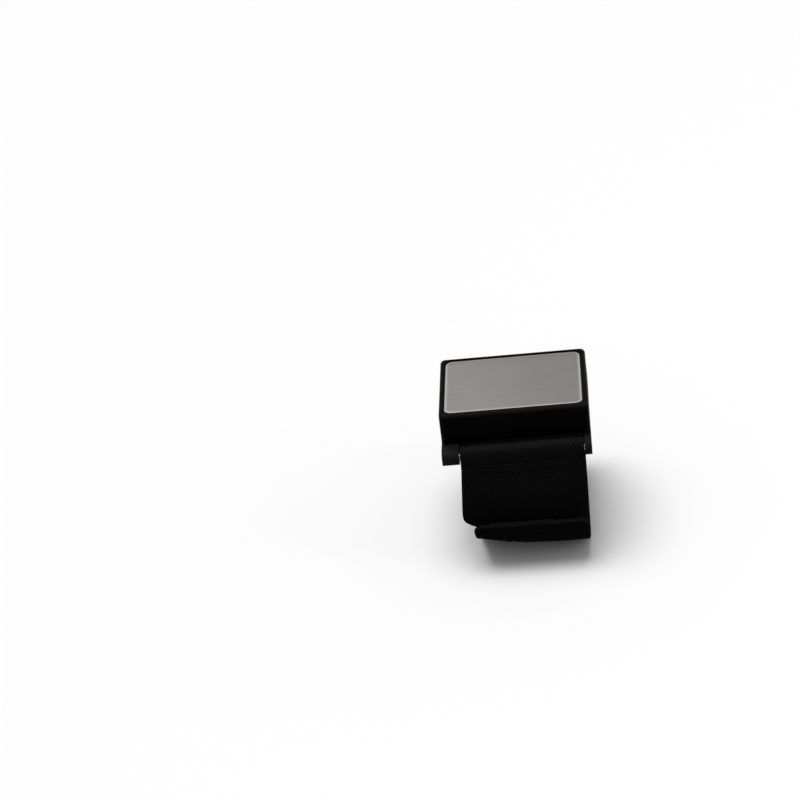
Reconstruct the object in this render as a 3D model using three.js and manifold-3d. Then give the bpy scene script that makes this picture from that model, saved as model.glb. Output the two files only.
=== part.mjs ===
// Magnetic wristband that holds screws and nails at hand while its wearer works.
// A block of ferrite magnets sits in a moulded housing behind a steel face plate. The housing is
// screwed to a saddle-shaped base. Lugs on the base carry two bars, and a strap is folded round each.
// The rear strap passes under the wrist, and its tail fastens over the front strap with hook and loop.
// Millimetres. +X runs along the forearm to the elbow, +Y across the wrist to the back, +Z up
// through the face plate. The origin is the middle of the wrist opening.

import * as THREE from "three";
import { mergeVertices } from "three/addons/utils/BufferGeometryUtils.js";
import Module from "manifold-3d";

const wasm = await Module();
wasm.setup();

// Clearances
const seatGap = 0.1; // between faces that rest on each other
const pocketGap = 0.3; // round a piece that drops into a pocket
const runGap = 0.4; // between a strap fold and the base that it turns beside

// Magnets, in a grid with a rib of the housing between neighbours
const magnetGrid = { columns: 3, rows: 2 };
const magnetDepth = 17.5;
const magnetHeight = 5.2;
const magnetSpacing = 1.6;
const magnetCorner = 1;
const magnetChamfer = 0.4;
const ribHeight = 2;

// Housing and what is stacked in it, from the face plate down
const housingWall = 2;
const housingCorner = 2;
const housingEdge = 1.4;
const rimWidth = 1.7;
const rimProud = 0.4;
const plateThickness = 1;
const plateCorner = 3;
const plateEdge = 0.25;
const tapeThickness = 0.3;
const tapeInset = 2;
const deckThickness = 1.2;
const backingThickness = 1.5;
const backingCorner = 1.5;
const foamThickness = 1;
const foamInset = 0.5;
const fieldGap = 0.7; // from the magnets to the front and rear walls

// Base saddle, its pad and the screws that hold it to the housing
const spigotHeight = 1;
const baseThickness = 2.6;
const archRadius = 65;
const padThickness = 1.8;
const padLength = 38;
const padDepth = 34;
const padCorner = 5;
const bossDiameter = 5;
const bossEmbed = 0.4; // how far a boss is sunk into the walls beside it
const screwDiameter = 2;
const screwLength = 8;
const screwHeadDiameter = 4;
const screwHeadHeight = 1.6;
const screwCrown = 0.35; // share of a screw head's height that its rounded edge takes
const screwSeat = 1.4; // thickness of the base under a screw head
const recessWidth = 0.7;
const recessLength = 2.4;
const recessDepth = 0.8;

// Lugs and strap bars
const lugRadius = 2.9;
const handLug = 6.1; // thickness of the lugs towards the hand, where the bar holes are blind
const elbowLug = 2.4; // thickness of the lugs towards the elbow, where the bars are pushed in
const blindWall = 1.2;
const barDiameter = 2.5;
const barChamfer = 0.3;
const barInset = 0.4; // from the end of a bar to the outside of the lug that it was pushed in through

// Straps, and the wrist opening that they close
const wristWidth = 63.1;
const wristHeight = 34.2; // from the pad down to the level of the front strap
const strapWidth = 41.6;
const strapThickness = 2.2;
const foldWidth = 44.5; // each strap is widest at its fold
const flareRun = 36; // and comes down to its own width over this height
const strapPlay = 0.8; // room between the lugs beside a fold
const strapEdgeGap = 0.35; // the folds lie over to the elbow side
const foldLength = 9; // doubled strap sewn down behind each bar
const frontDrift = -4.5; // sideways drift of each strap by the bottom of the loop
const rearDrift = 1;
const frontEndAngle = THREE.MathUtils.degToRad(236);
const handShoulder = THREE.MathUtils.degToRad(196); // where each edge of the front strap turns in to a tongue
const elbowShoulder = THREE.MathUtils.degToRad(200);
const shoulderInset = 8;
const tailEndAngle = THREE.MathUtils.degToRad(194);
const tailEndCorner = 3;
const bendInset = 3.5; // from the bottom of the front wrist circle to the line where the tail bends
const bendGap = 0.4;

// Hook and loop between the front strap and the tail
const loopThickness = 0.75;
const hookThickness = 0.75;
const patchWidth = 23;
const patchMargin = 2; // from a patch to the ends of both straps

// Sizes that follow from those above
// The housing is as long as the base, which is as long as a fold between a pair of lugs.
const slotLength = foldWidth + strapPlay;
const housingLength = slotLength + handLug + elbowLug;
const cavityLength = housingLength - 2 * housingWall;
const fieldLength = cavityLength - 2 * (pocketGap + bossDiameter);
const magnetLength = (fieldLength + magnetSpacing) / magnetGrid.columns - magnetSpacing;
const fieldDepth = magnetGrid.rows * (magnetDepth + magnetSpacing) - magnetSpacing;
const cavityDepth = fieldDepth + 2 * fieldGap;
const housingDepth = cavityDepth + 2 * housingWall;

// Heights above the parting line of the housing and the base
const foamHeight = spigotHeight + seatGap;
const backingHeight = foamHeight + foamThickness + seatGap;
const magnetFloor = backingHeight + backingThickness + seatGap;
const deckHeight = magnetFloor + magnetHeight + seatGap;
const tapeHeight = deckHeight + deckThickness + seatGap;
const plateHeight = tapeHeight + tapeThickness + seatGap;
const rimHeight = plateHeight + plateThickness + rimProud;

const bossX = cavityLength / 2 - bossDiameter / 2 + bossEmbed;
const bossY = cavityDepth / 2 - bossDiameter / 2 + bossEmbed;
const strapOffset = housingLength / 2 - elbowLug - strapEdgeGap - foldWidth / 2;
const saddleDrop = archRadius - Math.sqrt(archRadius ** 2 - (housingDepth / 2) ** 2);

// The strap runs as a belt: round a bar, down to a wrist circle, and along the flat bottom.
// The wrist circles reach from the inside of the bottom run to the height of the bars.
const barRadius = barDiameter / 2;
const foldBore = barRadius + pocketGap;
const foldRadius = foldBore + strapThickness;
const barY = housingDepth / 2 + runGap + foldRadius;
const saddleStack = padThickness + seatGap + baseThickness;
const wristRadius = (wristHeight + saddleStack - lugRadius) / 2;
const wristCentre = wristWidth / 2 - wristRadius;
const barZ = wristRadius;
const partingZ = barZ + lugRadius;

// Radii about the front wrist circle, from the front strap out to the tail
const frontOuter = wristRadius + strapThickness;
const loopInner = frontOuter + seatGap;
const loopOuter = loopInner + loopThickness;
const hookInner = loopOuter + pocketGap;
const hookOuter = hookInner + hookThickness;
const tailInner = hookOuter + seatGap;
const tailOuter = tailInner + strapThickness;
const lap = tailOuter - frontOuter;

const bottomAngle = 1.5 * Math.PI;
const driftTop = barZ - foldRadius;
const driftSpan = driftTop + tailOuter;

const bendY = bendInset - wristCentre;

const weldTolerance = 1e-4;
const housingEdgeSegments = 4;
const plateEdgeSegments = 2;
const chamferSegments = 1;
const arcSegments = 6;
const strapSegments = 12;
const roundSegments = 24;

const black = material(0x141415, 0.55, 0);
const satinBlack = material(0x1a1a1b, 0.5, 0);
const steel = material(0x9a9896, 0.42, 0.85);
const zinc = material(0xb9bbbd, 0.35, 0.9);
const ferrite = material(0x2b2b2d, 0.7, 0.2);
const foam = material(0x3a3a3c, 0.95, 0);
const tape = material(0xe4e2da, 0.8, 0);
const webbing = material(0x121214, 0.9, 0);
const fastener = material(0x0e0e0f, 0.95, 0);

function material(color, roughness, metalness) {
  return new THREE.MeshStandardMaterial({ color, roughness, metalness });
}

// A closed three.js geometry as a solid that can be joined and cut.
function solid(geometry) {
  const bare = new THREE.BufferGeometry();
  bare.setAttribute("position", geometry.getAttribute("position"));
  bare.setIndex(geometry.getIndex());
  const merged = mergeVertices(bare, weldTolerance);
  return new wasm.Manifold(
    new wasm.Mesh({
      numProp: 3,
      vertProperties: merged.getAttribute("position").array,
      triVerts: new Uint32Array(merged.getIndex().array),
    }),
  );
}

// A solid back as a geometry with flat-shaded faces.
function geometryOf(shape) {
  const mesh = shape.getMesh();
  const geometry = new THREE.BufferGeometry();
  geometry.setAttribute("position", new THREE.BufferAttribute(mesh.vertProperties, 3));
  geometry.setIndex(new THREE.BufferAttribute(mesh.triVerts, 1));
  const flat = geometry.toNonIndexed();
  flat.computeVertexNormals();
  return flat;
}

function piece(name, geometry, surface) {
  const mesh = new THREE.Mesh(geometry, surface);
  mesh.name = name;
  return mesh;
}

// A rectangle with round corners, centred, as an outline.
function roundedRectangle(length, depth, radius) {
  const x = length / 2 - radius;
  const y = depth / 2 - radius;
  const outline = new THREE.Shape();
  outline.absarc(x, y, radius, 0, 0.5 * Math.PI, false);
  outline.absarc(-x, y, radius, 0.5 * Math.PI, Math.PI, false);
  outline.absarc(-x, -y, radius, Math.PI, 1.5 * Math.PI, false);
  outline.absarc(x, -y, radius, 1.5 * Math.PI, 2 * Math.PI, false);
  return outline;
}

// An outline in plan, raised from one height to another.
function slab(outline, bottom, top) {
  const options = { depth: top - bottom, bevelEnabled: false, curveSegments: arcSegments / 2 };
  return new THREE.ExtrudeGeometry(outline, options).translate(0, 0, bottom);
}

// A slab with its top and bottom edges rounded or chamfered.
function easedSlab(outline, bottom, top, edge, segments) {
  const options = {
    depth: top - bottom - 2 * edge,
    bevelThickness: edge,
    bevelSize: edge,
    bevelOffset: -edge,
    bevelSegments: segments,
    curveSegments: arcSegments / 2,
  };
  return new THREE.ExtrudeGeometry(outline, options).translate(0, 0, bottom + edge);
}

// An outline drawn across the wrist, with Y to the right and Z up, run along X and centred.
function prism(outline, length, segments = strapSegments) {
  const options = { depth: length, bevelEnabled: false, curveSegments: segments };
  const across = new THREE.Matrix4().makeBasis(
    new THREE.Vector3(0, 1, 0),
    new THREE.Vector3(0, 0, 1),
    new THREE.Vector3(1, 0, 0),
  );
  return new THREE.ExtrudeGeometry(outline, options).translate(0, 0, -length / 2).applyMatrix4(across);
}

function disc(y, z, radius) {
  return new THREE.Shape().absarc(y, z, radius, 0, 2 * Math.PI, false);
}

function post(x, y, radius, bottom, top) {
  const geometry = new THREE.CylinderGeometry(radius, radius, top - bottom, roundSegments);
  return geometry.rotateX(Math.PI / 2).translate(x, y, (top + bottom) / 2);
}

function block(length, depth, bottom, top) {
  return new THREE.BoxGeometry(length, depth, top - bottom).translate(0, 0, (top + bottom) / 2);
}

function atBosses(make) {
  return [-1, 1].flatMap((sideX) => [-1, 1].map((sideY) => make(sideX * bossX, sideY * bossY)));
}

// Centres of the magnets along one direction.
function magnetCentres(count, size) {
  const pitch = size + magnetSpacing;
  return Array.from({ length: count }, (_, i) => (i - (count - 1) / 2) * pitch);
}

// Middles of the gaps between neighbouring magnets.
function ribCentres(count, size) {
  return magnetCentres(count - 1, size);
}

// The housing: a rimmed seat for the face plate on top, and below its deck a cavity with screw
// bosses in the end bays and ribs between the magnets.
function upperHousing() {
  const outside = roundedRectangle(housingLength, housingDepth, housingCorner);
  const seat = roundedRectangle(
    housingLength - 2 * rimWidth,
    housingDepth - 2 * rimWidth,
    plateCorner + pocketGap / 2,
  );
  const cavity = roundedRectangle(cavityLength, cavityDepth, housingCorner / 2);
  const ribThickness = magnetSpacing - 2 * pocketGap;
  const ribBottom = deckHeight - ribHeight;

  let shell = solid(easedSlab(outside, -2 * housingEdge, rimHeight, housingEdge, housingEdgeSegments));
  shell = shell.subtract(solid(block(2 * housingLength, 2 * housingDepth, -housingWall * 2, 0)));
  shell = shell.subtract(solid(slab(seat, deckHeight + deckThickness, rimHeight + rimProud)));
  shell = shell.subtract(solid(slab(cavity, -housingWall, deckHeight)));
  for (const x of ribCentres(magnetGrid.columns, magnetLength)) {
    const rib = block(ribThickness, fieldDepth, ribBottom, deckHeight + deckThickness / 2);
    shell = shell.add(solid(rib.translate(x, 0, 0)));
  }
  for (const y of ribCentres(magnetGrid.rows, magnetDepth)) {
    const rib = block(fieldLength, ribThickness, ribBottom, deckHeight + deckThickness / 2);
    shell = shell.add(solid(rib.translate(0, y, 0)));
  }
  const bosses = atBosses((x, y) =>
    post(x, y, bossDiameter / 2, spigotHeight + seatGap, deckHeight + deckThickness / 2),
  );
  const pilots = atBosses((x, y) =>
    post(x, y, screwDiameter / 2 + seatGap, 0, screwLength - screwSeat + pocketGap),
  );
  for (const boss of bosses) shell = shell.add(solid(boss));
  for (const pilot of pilots) shell = shell.subtract(solid(pilot));
  return piece("upper_housing", geometryOf(shell), satinBlack);
}

const plateLength = housingLength - 2 * rimWidth - pocketGap;
const plateDepth = housingDepth - 2 * rimWidth - pocketGap;

function facePlate() {
  const outline = roundedRectangle(plateLength, plateDepth, plateCorner);
  const plate = easedSlab(outline, 0, plateThickness, plateEdge, plateEdgeSegments);
  const mesh = piece("face_plate", plate, steel);
  mesh.position.z = plateHeight;
  return mesh;
}

function plateTape() {
  const outline = roundedRectangle(plateLength - 2 * tapeInset, plateDepth - 2 * tapeInset, plateCorner);
  const mesh = piece("plate_tape", slab(outline, 0, tapeThickness), tape);
  mesh.position.z = tapeHeight;
  return mesh;
}

function magnets() {
  const outline = roundedRectangle(magnetLength, magnetDepth, magnetCorner);
  const meshes = [];
  for (const x of magnetCentres(magnetGrid.columns, magnetLength)) {
    for (const y of magnetCentres(magnetGrid.rows, magnetDepth)) {
      const body = easedSlab(outline, 0, magnetHeight, magnetChamfer, chamferSegments);
      const mesh = piece(`magnet_${meshes.length + 1}`, body, ferrite);
      mesh.position.set(x, y, magnetFloor);
      meshes.push(mesh);
    }
  }
  return meshes;
}

// The steel plate behind the magnets, which closes their field.
function backingPlate() {
  const outline = roundedRectangle(fieldLength, fieldDepth, backingCorner);
  const mesh = piece("backing_plate", slab(outline, 0, backingThickness), zinc);
  mesh.position.z = backingHeight;
  return mesh;
}

// The foam sheet that presses the stack up against the deck.
function foamSpacer() {
  const outline = roundedRectangle(
    fieldLength - 2 * foamInset,
    fieldDepth - 2 * foamInset,
    backingCorner,
  );
  const mesh = piece("foam_spacer", slab(outline, 0, foamThickness), foam);
  mesh.position.z = foamHeight;
  return mesh;
}

// The region under an arch across the wrist whose crown is at the given height.
function underArch(crown, radius, depth) {
  const reach = Math.asin(depth / 2 / radius);
  const centre = crown - radius;
  const outline = new THREE.Shape();
  outline.absarc(0, centre, radius, 0.5 * Math.PI - reach, 0.5 * Math.PI + reach, false);
  outline.lineTo(-depth / 2, centre);
  outline.lineTo(depth / 2, centre);
  return outline;
}

// One lug seen from its end: a bar that ends in a half round about the strap bar.
function lugOutline() {
  const root = housingDepth / 2 - 2 * housingCorner;
  const outline = new THREE.Shape();
  outline.moveTo(root, 0);
  outline.lineTo(root, -baseThickness);
  outline.lineTo(housingDepth / 2, -2 * lugRadius);
  outline.absarc(barY, -lugRadius, lugRadius, -0.5 * Math.PI, 0.5 * Math.PI, false);
  return outline;
}

// The base: a plate that is arched to the wrist, with a spigot in the housing's cavity, four
// screw holes and a pair of lugs at the front and at the rear.
function baseSaddle() {
  const outside = roundedRectangle(housingLength, housingDepth, housingCorner);
  const spigot = roundedRectangle(
    cavityLength - 2 * pocketGap,
    cavityDepth - 2 * pocketGap,
    housingCorner / 2,
  );
  const bottom = -baseThickness - saddleDrop;

  let base = solid(slab(outside, bottom, 0));
  base = base.add(solid(slab(spigot, -baseThickness / 2, spigotHeight)));
  const holeLength = housingLength - blindWall;
  for (const turn of [0, Math.PI]) {
    const onHand = prism(lugOutline(), handLug, arcSegments).rotateZ(turn);
    const onElbow = prism(lugOutline(), elbowLug, arcSegments).rotateZ(turn);
    const hole = prism(disc(barY, -lugRadius, barRadius + seatGap), 2 * holeLength, arcSegments);
    base = base.add(solid(onHand.translate((handLug - housingLength) / 2, 0, 0)));
    base = base.add(solid(onElbow.translate((housingLength - elbowLug) / 2, 0, 0)));
    hole.rotateZ(turn).translate(blindWall - housingLength / 2 + holeLength, 0, 0);
    base = base.subtract(solid(hole));
  }
  base = base.subtract(solid(prism(underArch(-baseThickness, archRadius, 2 * barY), 2 * housingLength)));
  for (const hole of atBosses((x, y) =>
    post(x, y, screwDiameter / 2 + pocketGap, -archRadius, spigotHeight * 2),
  )) {
    base = base.subtract(solid(hole));
  }
  for (const counterbore of atBosses((x, y) =>
    post(x, y, screwHeadDiameter / 2 + pocketGap, -archRadius, -screwSeat),
  )) {
    base = base.subtract(solid(counterbore));
  }
  return piece("base_saddle", geometryOf(base), black);
}

// A pan-head screw with a cross recess, head down, with its head's seat at height 0.
function screwGeometry() {
  const head = screwHeadDiameter / 2;
  const shank = screwDiameter / 2;
  const crown = screwCrown * screwHeadHeight;
  const profile = [
    [0, -screwHeadHeight],
    [head - crown, -screwHeadHeight],
    [head, crown - screwHeadHeight],
    [head, 0],
    [shank, 0],
    [shank, screwLength - shank],
    [0, screwLength],
  ].map(([radius, height]) => new THREE.Vector2(radius, height));
  const turned = new THREE.LatheGeometry(profile, roundSegments).rotateX(Math.PI / 2);
  let screw = solid(turned);
  for (const turn of [0, Math.PI / 2]) {
    const slot = block(recessLength, recessWidth, -2 * screwHeadHeight, recessDepth - screwHeadHeight);
    screw = screw.subtract(solid(slot.rotateZ(turn)));
  }
  return geometryOf(screw);
}

function caseScrews() {
  return atBosses((x, y) => [x, y]).map(([x, y], i) => {
    const mesh = piece(`case_screw_${i + 1}`, screwGeometry(), zinc);
    mesh.position.set(x, y, -screwSeat - seatGap);
    return mesh;
  });
}

// The pad on the underside of the base, bent to the arch.
function comfortPad() {
  const plan = roundedRectangle(padLength, padDepth, padCorner);
  const crown = -baseThickness - seatGap;
  const outer = solid(prism(underArch(crown, archRadius - seatGap, housingDepth), padLength));
  const inner = underArch(crown - padThickness, archRadius - seatGap - padThickness, housingDepth);
  const sheet = outer.subtract(solid(prism(inner, 2 * padLength)));
  const pad = sheet.intersect(solid(slab(plan, crown - archRadius / 2, 0)));
  return piece("comfort_pad", geometryOf(pad), foam);
}

function strapBar(name, side) {
  const half = (housingLength - blindWall - seatGap - barInset) / 2;
  const profile = [
    [0, -half],
    [barRadius - barChamfer, -half],
    [barRadius, barChamfer - half],
    [barRadius, half - barChamfer],
    [barRadius - barChamfer, half],
    [0, half],
  ].map(([radius, along]) => new THREE.Vector2(radius, along));
  const mesh = piece(name, new THREE.LatheGeometry(profile, roundSegments), zinc);
  mesh.rotation.z = Math.PI / 2;
  mesh.position.set(housingLength / 2 - barInset - half, side * barY, -lugRadius);
  return mesh;
}

// A band between two radii about a circle, from one angle to another. An optional lead comes in
// to the start of the arc, and an optional endY takes the band on from the bottom of the circle.
function bandOutline({ centreY, centreZ, inner, outer, fromAngle, toAngle, lead, endY }) {
  const outline = new THREE.Shape();
  if (lead) {
    outline.moveTo(lead.outer.x, lead.outer.y);
    outline.lineTo(centreY + outer * Math.cos(fromAngle), centreZ + outer * Math.sin(fromAngle));
  }
  outline.absarc(centreY, centreZ, outer, fromAngle, toAngle, false);
  if (endY !== undefined) {
    outline.lineTo(endY, centreZ - outer);
    outline.lineTo(endY, centreZ - inner);
  }
  outline.absarc(centreY, centreZ, inner, toAngle, fromAngle, true);
  if (lead) outline.lineTo(lead.inner.x, lead.inner.y);
  return outline;
}

// A strap in the position of the front one: folded round its bar and run down to a wrist circle
// whose centre is dropped below the middle of the opening, then round it to an angle or to endY.
function strapSolid(drop, toAngle, endY) {
  const bar = new THREE.Vector2(-barY, barZ);
  const centre = new THREE.Vector2(-wristCentre, -drop);
  const toCentre = centre.clone().sub(bar);
  const tilt = Math.acos((foldBore - wristRadius) / toCentre.length());
  const leave = toCentre.angle() - tilt;
  const normal = new THREE.Vector2(Math.cos(leave), Math.sin(leave));
  const run = new THREE.Vector2(-normal.y, normal.x);

  const band = bandOutline({
    centreY: centre.x,
    centreZ: centre.y,
    inner: wristRadius,
    outer: frontOuter,
    fromAngle: THREE.MathUtils.euclideanModulo(leave, 2 * Math.PI),
    toAngle,
    endY,
    lead: {
      outer: bar.clone().addScaledVector(normal, foldRadius),
      inner: bar.clone().addScaledVector(normal, foldBore),
    },
  });

  const sewn = bar.clone().addScaledVector(normal, foldBore).addScaledVector(run, foldLength);
  const toSewn = sewn.clone().sub(bar);
  const back = toSewn.angle() + Math.acos(foldRadius / toSewn.length());
  const fold = new THREE.Shape();
  fold.moveTo(sewn.x, sewn.y);
  fold.absarc(bar.x, bar.y, foldRadius, back, leave + 2 * Math.PI, false);

  return solid(prism(band, strapWidth))
    .add(solid(prism(fold, strapWidth)))
    .subtract(solid(prism(disc(bar.x, bar.y, foldBore), 2 * strapWidth)));
}

// Moves a strap sideways by its offset between the lugs and by a drift that grows down the loop,
// and widens it towards its fold.
function shaped(geometry, offset, drift) {
  const position = geometry.getAttribute("position");
  for (let i = 0; i < position.count; i++) {
    const below = Math.max(0, driftTop - position.getZ(i));
    const flare = Math.max(0, 1 - below / flareRun);
    const width = THREE.MathUtils.lerp(1, foldWidth / strapWidth, flare);
    position.setX(i, position.getX(i) * width + offset + (drift * below) / driftSpan);
  }
  geometry.computeVertexNormals();
  return geometry;
}

// A cutter for one edge of a strap on the front wrist circle: -1 for the edge towards the hand, 1 for
// the other. The outline is drawn at that edge and an angle, with X out past the edge and Y along
// the strap, in the direction of growing angles for a turn of 1 and of falling ones for -1.
function edgeCut(outline, side, angle, radius, turn, depth) {
  const onward = new THREE.Vector3(0, -Math.sin(angle), Math.cos(angle)).multiplyScalar(turn);
  const sideways = new THREE.Vector3(side, 0, 0);
  const facing = sideways.clone().cross(onward);
  const origin = new THREE.Vector3(
    (side * strapWidth) / 2,
    radius * Math.cos(angle) - wristCentre,
    radius * Math.sin(angle),
  );
  const options = { depth, bevelEnabled: false, curveSegments: arcSegments / 2 };
  return new THREE.ExtrudeGeometry(outline, options)
    .translate(0, 0, -depth / 2)
    .applyMatrix4(new THREE.Matrix4().makeBasis(sideways, onward, facing).setPosition(origin));
}

// What is cut away to round one corner of a strap's end.
function cornerOutline(round) {
  const outline = new THREE.Shape();
  outline.moveTo(0, -round);
  outline.absarc(-round, -round, round, 0, 0.5 * Math.PI, false);
  outline.lineTo(-round, round);
  outline.lineTo(round, round);
  outline.lineTo(round, -round);
  return outline;
}

// What is cut away beside a tongue that a strap narrows to.
function shoulderOutline(inset) {
  const outline = new THREE.Shape();
  outline.moveTo(0, 0);
  outline.lineTo(inset, 0);
  outline.lineTo(inset, frontOuter + inset);
  outline.lineTo(-inset, frontOuter + inset);
  outline.lineTo(-inset, inset);
  return outline;
}

function frontStrap() {
  let strap = strapSolid(0, frontEndAngle);
  const beside = shoulderOutline(shoulderInset);
  const depth = 2 * frontOuter;
  strap = strap.subtract(solid(edgeCut(beside, -1, handShoulder, wristRadius, 1, depth)));
  strap = strap.subtract(solid(edgeCut(beside, 1, elbowShoulder, wristRadius, 1, depth)));
  return piece("front_strap", shaped(geometryOf(strap), strapOffset, frontDrift), webbing);
}

// The rear strap is the same pattern turned round, lower by the lap, and it ends at the bend.
function rearStrap() {
  const strap = geometryOf(strapSolid(lap, bottomAngle, -bendY - bendGap / 2));
  const mesh = piece("rear_strap", shaped(strap, -strapOffset, -rearDrift), webbing);
  mesh.rotation.z = Math.PI;
  return mesh;
}

// A band that lies round the front wrist circle.
function frontBand(band, width) {
  return prism(bandOutline({ centreY: -wristCentre, centreZ: 0, ...band }), width);
}

// The tail carries the rear strap on from the bend, outside the front strap.
function strapTail() {
  const band = {
    inner: tailInner,
    outer: tailOuter,
    fromAngle: tailEndAngle,
    toAngle: bottomAngle,
    endY: bendY - bendGap / 2,
  };
  let tail = solid(frontBand(band, strapWidth));
  const corner = cornerOutline(tailEndCorner);
  for (const side of [-1, 1]) {
    const cut = edgeCut(corner, side, tailEndAngle, tailInner, -1, 4 * tailEndCorner);
    tail = tail.subtract(solid(cut));
  }
  const geometry = geometryOf(tail).translate(strapOffset + rearDrift, 0, 0);
  return piece("strap_tail", geometry, webbing);
}

// The angles between which the two straps overlap, less a margin at each end.
const patchSpan = {
  fromAngle: tailEndAngle + patchMargin / hookInner,
  toAngle: frontEndAngle - patchMargin / hookInner,
};

// The loop half, sewn to the outside of the front strap where the tail covers it.
function loopPatch() {
  const patch = frontBand({ inner: loopInner, outer: loopOuter, ...patchSpan }, patchWidth);
  return piece("loop_patch", shaped(patch, strapOffset, frontDrift), fastener);
}

// The hook half, sewn to the inside of the tail.
function hookPatch() {
  const patch = frontBand({ inner: hookInner, outer: hookOuter, ...patchSpan }, patchWidth);
  return piece("hook_patch", patch.translate(strapOffset + rearDrift, 0, 0), fastener);
}

const wristband = new THREE.Group();

const caseGroup = new THREE.Group();
caseGroup.position.z = partingZ;
caseGroup.add(upperHousing(), facePlate(), plateTape(), ...magnets(), backingPlate(), foamSpacer());
caseGroup.add(baseSaddle(), ...caseScrews(), comfortPad());
caseGroup.add(strapBar("front_bar", -1), strapBar("rear_bar", 1));

const strapGroup = new THREE.Group();
strapGroup.add(frontStrap(), loopPatch(), rearStrap(), strapTail(), hookPatch());

wristband.add(caseGroup, strapGroup);

export default wristband;
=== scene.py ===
"""Magnetic wristband: pieces, finishes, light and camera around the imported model."""
import math

import bmesh
import bpy
from mathutils import Matrix, Vector


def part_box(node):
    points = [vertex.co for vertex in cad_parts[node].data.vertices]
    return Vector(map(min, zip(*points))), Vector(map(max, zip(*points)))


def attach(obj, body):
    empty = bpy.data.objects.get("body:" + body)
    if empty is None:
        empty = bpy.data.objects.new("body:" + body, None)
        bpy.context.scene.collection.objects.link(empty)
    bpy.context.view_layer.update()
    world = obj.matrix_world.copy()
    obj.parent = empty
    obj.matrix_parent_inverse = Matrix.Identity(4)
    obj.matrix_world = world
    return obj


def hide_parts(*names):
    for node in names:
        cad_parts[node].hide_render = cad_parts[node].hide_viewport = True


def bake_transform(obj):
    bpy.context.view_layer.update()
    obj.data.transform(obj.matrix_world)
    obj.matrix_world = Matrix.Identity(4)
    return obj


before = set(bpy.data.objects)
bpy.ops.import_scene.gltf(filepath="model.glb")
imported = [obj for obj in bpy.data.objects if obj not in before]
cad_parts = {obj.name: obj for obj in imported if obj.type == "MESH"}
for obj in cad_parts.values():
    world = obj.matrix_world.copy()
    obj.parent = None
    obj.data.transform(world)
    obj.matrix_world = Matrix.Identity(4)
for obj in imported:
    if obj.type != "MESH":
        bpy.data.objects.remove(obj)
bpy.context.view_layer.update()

MM = 0.001

# Sizes of the band

housing_low, housing_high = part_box("upper_housing")
plate_low, plate_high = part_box("face_plate")
base_low, base_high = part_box("base_saddle")
pad_low, pad_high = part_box("comfort_pad")
front_bar_low, front_bar_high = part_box("front_bar")
tail_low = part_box("strap_tail")[0]

# Clearances
seat_gap = 0.1 * MM
pocket_gap = 0.3 * MM
overshoot = 5.0 * MM  # of a cutting tool past what it cuts

# Housing and face plate
parting = housing_low.z
rim_top = housing_high.z
housing_corner = 2.0 * MM
housing_edge = 1.4 * MM
housing_wall = 1.8 * MM
cavity_height = 9.1 * MM
rim_width = 1.7 * MM
seat_depth = 1.8 * MM
seat_corner = 3.15 * MM
seat_round = 0.22 * MM
parting_round = 0.18 * MM
plate_corner = 3.0 * MM
plate_round = 0.5 * MM
plate_foot_round = 0.15 * MM

# Base, pad, bars and screws
base_thickness = 2.6 * MM
base_round = 0.4 * MM
arch_radius = 65.0 * MM
lug_radius = 2.9 * MM
hand_lug = 6.1 * MM
elbow_lug = 2.4 * MM
lug_root = 8.0 * MM
blind_wall = 1.2 * MM
screw_reach = (22.8 * MM, 16.9 * MM)
screw_seat = 1.4 * MM
screw_head = 2.0 * MM
screw_head_height = 1.6 * MM
screw_crown = 0.6 * MM
screw_shank = 1.0 * MM
screw_tip = 0.8 * MM
recess_half_length = 1.2 * MM
recess_half_width = 0.33 * MM
recess_depth = 0.8 * MM
recess_lead = 1.0 * MM
pad_thickness = 1.8 * MM
pad_corner = 5.0 * MM
pad_soft_edge = 0.8 * MM
pad_back_edge = 0.25 * MM
pad_swell = 0.35 * MM
pad_sink = 0.2 * MM
pad_cuts = 14
bar_chamfer = 0.3 * MM
bar_radius = (front_bar_high.z - front_bar_low.z) / 2
bar_y = -(front_bar_low.y + front_bar_high.y) / 2
bar_z = (front_bar_low.z + front_bar_high.z) / 2

# Straps: each is widest at its fold, and drifts sideways on its way down
strap_width = 41.6 * MM
fold_width = 44.5 * MM
flare_run = 36.0 * MM
strap_thickness = 2.2 * MM
layer_pitch = 1.02 * strap_thickness
fold_radius = bar_radius + pocket_gap + strap_thickness
fold_middle = fold_radius - strap_thickness / 2
fold_crown = 15.0 * MM  # from a strap's sewn end to the top of its fold, where a highlight is painted
half_opening = 31.55 * MM
wrist_radius = bar_z
wrist_middle = wrist_radius + strap_thickness / 2
wrist_centre = half_opening - wrist_radius
strap_offset = 1.9 * MM
front_drift = -4.5 * MM
rear_drift = 1.0 * MM
drift_top = bar_z - fold_radius
drift_span = drift_top - tail_low.z
front_end = math.radians(236)
hand_shoulder = math.radians(196)
elbow_shoulder = math.radians(200)
shoulder_inset = 8.0 * MM
shoulder_round = 1.2 * MM
front_end_corner = 1.5 * MM
tail_end = math.radians(194)
tail_end_corner = 3.0 * MM
lap = -tail_low.z - wrist_radius - strap_thickness
tail_middle = -tail_low.z - strap_thickness / 2
route_step = 0.25 * MM

# Hook and loop, where the tail laps the front strap
patch_half = 11.5 * MM
patch_thickness = 0.75 * MM
patch_corner = 1.0 * MM
patch_margin = 2.0 * MM
loop_radius = wrist_radius + strap_thickness + seat_gap + patch_thickness / 2
hook_radius = loop_radius + patch_thickness + pocket_gap
hook_inner = hook_radius - patch_thickness / 2
patch_start = tail_end + patch_margin / hook_inner
patch_finish = front_end - patch_margin / hook_inner

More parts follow.
